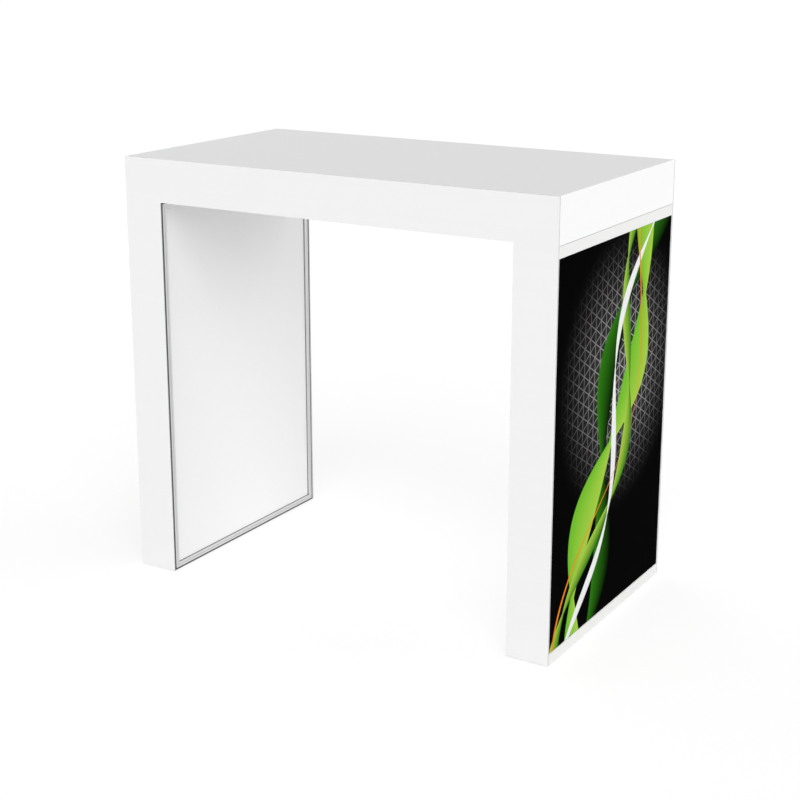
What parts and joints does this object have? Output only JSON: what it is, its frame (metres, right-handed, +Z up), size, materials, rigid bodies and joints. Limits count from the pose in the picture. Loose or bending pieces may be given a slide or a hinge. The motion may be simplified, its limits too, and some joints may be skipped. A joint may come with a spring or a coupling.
{
  "type": "exhibition counter",
  "caption": "Portal-shaped standing counter: two deep panel legs with a printed fabric face outside and a framed white panel inside, joined by a flush-topped beam.",
  "frame": {"origin": "on the floor, under the middle of the counter's footprint", "axes": "+X along the counter to the visitor's right, -Y towards the visitor, +Z up"},
  "size_m": [1.1, 0.595, 1],
  "materials": {
    "white_sheet": "satin",
    "laminated_board": "satin",
    "white_panel": "matte",
    "coated_aluminium": "satin",
    "silver_aluminium": "satin",
    "zinc_steel": "satin",
    "printed_fabric": "matte",
    "silicone": "matte",
    "dark_gasket": "matte",
    "black_nylon": "satin"
  },
  "bodies": {
    "counter": {"front_fascia": "white_sheet", "rear_fascia": "white_sheet", "left_end_panel": "white_sheet", "right_end_panel": "white_sheet", "soffit_panel": "white_sheet", "countertop": "laminated_board", "beam_front_rail": "coated_aluminium", "beam_rear_rail": "coated_aluminium", "left_cross_member": "zinc_steel", "right_cross_member": "zinc_steel", "middle_cross_member": "zinc_steel", "left_front_post": "coated_aluminium", "left_rear_post": "coated_aluminium", "left_top_rail": "coated_aluminium", "left_bottom_rail": "coated_aluminium", "left_cross_bar": "coated_aluminium", "left_front_bottom_bracket": "zinc_steel", "left_front_top_bracket": "zinc_steel", "left_rear_bottom_bracket": "zinc_steel", "left_rear_top_bracket": "zinc_steel", "left_front_beam_bolt": "zinc_steel", "left_rear_beam_bolt": "zinc_steel", "left_inner_panel": "white_panel", "left_panel_strip_front": "silver_aluminium", "left_panel_strip_rear": "silver_aluminium", "left_panel_strip_bottom": "silver_aluminium", "left_panel_strip_top": "silver_aluminium", "left_edge_gasket": "dark_gasket", "right_front_post": "coated_aluminium", "right_rear_post": "coated_aluminium", "right_top_rail": "coated_aluminium", "right_bottom_rail": "coated_aluminium", "right_cross_bar": "coated_aluminium", "right_front_bottom_bracket": "zinc_steel", "right_front_top_bracket": "zinc_steel", "right_rear_bottom_bracket": "zinc_steel", "right_rear_top_bracket": "zinc_steel", "right_front_beam_bolt": "zinc_steel", "right_rear_beam_bolt": "zinc_steel", "right_inner_panel": "white_panel", "right_panel_strip_front": "silver_aluminium", "right_panel_strip_rear": "silver_aluminium", "right_panel_strip_bottom": "silver_aluminium", "right_panel_strip_top": "silver_aluminium", "right_edge_gasket": "dark_gasket"},
    "left_graphic": {"left_graphic_fabric": "printed_fabric", "left_graphic_edging": "silicone"},
    "right_graphic": {"right_graphic_fabric": "printed_fabric", "right_graphic_edging": "silicone"},
    "left_front_foot": {"left_front_foot_stud": "zinc_steel", "left_front_glide_pad": "black_nylon"},
    "left_rear_foot": {"left_rear_foot_stud": "zinc_steel", "left_rear_glide_pad": "black_nylon"},
    "right_front_foot": {"right_front_foot_stud": "zinc_steel", "right_front_glide_pad": "black_nylon"},
    "right_rear_foot": {"right_rear_foot_stud": "zinc_steel", "right_rear_glide_pad": "black_nylon"}
  },
  "joints": [
    {"name": "left_graphic_pull", "type": "slide", "parent": "counter", "child": "left_graphic", "axis": [-1, 0, 0], "range_m": [0, 0.02]},
    {"name": "right_graphic_pull", "type": "slide", "parent": "counter", "child": "right_graphic", "axis": [1, 0, 0], "range_m": [0, 0.02]},
    {"name": "left_front_foot_thread", "type": "slide", "parent": "counter", "child": "left_front_foot", "axis": [0, 0, -1], "range_m": [0, 0.012]},
    {"name": "left_rear_foot_thread", "type": "slide", "parent": "counter", "child": "left_rear_foot", "axis": [0, 0, -1], "range_m": [0, 0.012]},
    {"name": "right_front_foot_thread", "type": "slide", "parent": "counter", "child": "right_front_foot", "axis": [0, 0, -1], "range_m": [0, 0.012]},
    {"name": "right_rear_foot_thread", "type": "slide", "parent": "counter", "child": "right_rear_foot", "axis": [0, 0, -1], "range_m": [0, 0.012]}
  ]
}
